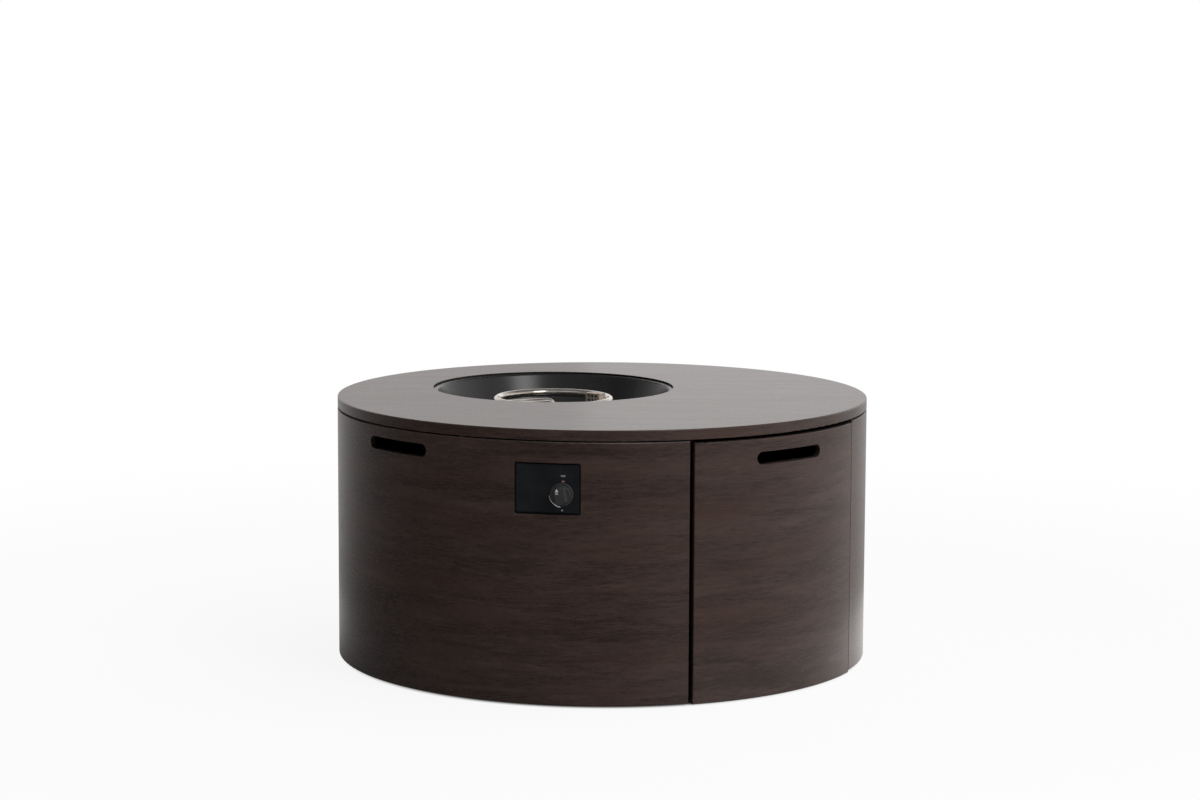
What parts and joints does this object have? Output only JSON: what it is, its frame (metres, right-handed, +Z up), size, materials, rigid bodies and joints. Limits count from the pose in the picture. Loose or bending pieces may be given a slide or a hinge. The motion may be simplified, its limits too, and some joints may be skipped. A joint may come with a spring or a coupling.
{
  "type": "gas fire pit",
  "caption": "Round drum gas fire table with a wood-grain steel body, offset sunken fire bowl, ring burner, curved hinged cylinder door, hand slots and a push-and-turn valve knob.",
  "frame": {"origin": "on the floor, under the axis of the drum", "axes": "+Z up, -Y out through the middle of the door, +X towards the door's hinge side"},
  "size_m": [1.22, 1.223, 0.604],
  "materials": {
    "woodgrain_steel": "dark brown wood-grain powder coat",
    "black_steel": "satin black paint",
    "bowl_black": "heat-proof black enamel",
    "control_black": "blue-black satin paint",
    "stainless": "polished stainless steel",
    "galvanised": "galvanised sheet",
    "zinc": "bright zinc plate",
    "heat_tinted": "heat-tinted steel",
    "brass": "machined",
    "pipe_aluminium": "drawn tube",
    "copper": "drawn capillary",
    "ceramic": "glazed ceramic",
    "knob_black": "moulded, satin",
    "foot_plastic": "moulded",
    "nylon": "moulded",
    "pad_rubber": "matt",
    "wire_sleeve": "silicone sleeve"
  },
  "bodies": {
    "drum": {"base_pan": "black_steel", "feet": "foot_plastic", "left_panel": "woodgrain_steel", "right_panel": "woodgrain_steel", "back_panel": "woodgrain_steel", "seam_bolts": "zinc", "seam_nuts": "zinc", "base_rivets": "zinc", "tank_collar": "black_steel", "hinge_goosenecks": "black_steel", "hinge_pins": "zinc", "hinge_washers": "nylon", "magnet_catches": "foot_plastic", "panel_bracket": "black_steel", "control_panel": "control_black", "valve_body": "brass", "inlet_nipple": "brass", "tabletop": "woodgrain_steel", "top_rails": "black_steel", "top_pads": "pad_rubber", "top_screws": "zinc", "fire_bowl": "bowl_black", "bowl_gasket": "pad_rubber", "bowl_studs": "zinc", "bowl_nuts": "zinc", "burner_ring": "stainless", "burner_locknuts": "zinc", "venturi_mixer": "galvanised", "gas_orifice": "brass", "heat_shield": "galvanised", "shield_standoffs": "zinc", "pilot_bracket": "stainless", "pilot_guard": "heat_tinted", "spark_electrode": "ceramic", "thermocouple": "copper", "gas_pipe": "pipe_aluminium", "flare_nuts": "brass", "thermocouple_line": "copper", "ignition_wire": "wire_sleeve"},
    "door": {"door": "woodgrain_steel", "door_hinge_tabs": "black_steel"},
    "plunger": {"valve_plunger": "zinc"},
    "knob": {"knob": "knob_black", "valve_stem": "zinc"}
  },
  "joints": [
    {"name": "door_hinge", "type": "hinge", "parent": "drum", "child": "door", "pos_m": [0.22882, -0.55898, 0.3], "axis": [0, 0, 1], "range_deg": [0, 100]},
    {"name": "knob_push", "type": "slide", "parent": "drum", "child": "plunger", "axis": [0.8007, 0.599, 0], "range_m": [0, 0.004], "stiffness_N_per_m": 2500},
    {"name": "knob_turn", "type": "hinge", "parent": "plunger", "child": "knob", "pos_m": [-0.47247, -0.39342, 0.4657], "axis": [-0.8007, -0.599, 0], "range_deg": [0, 180]}
  ]
}
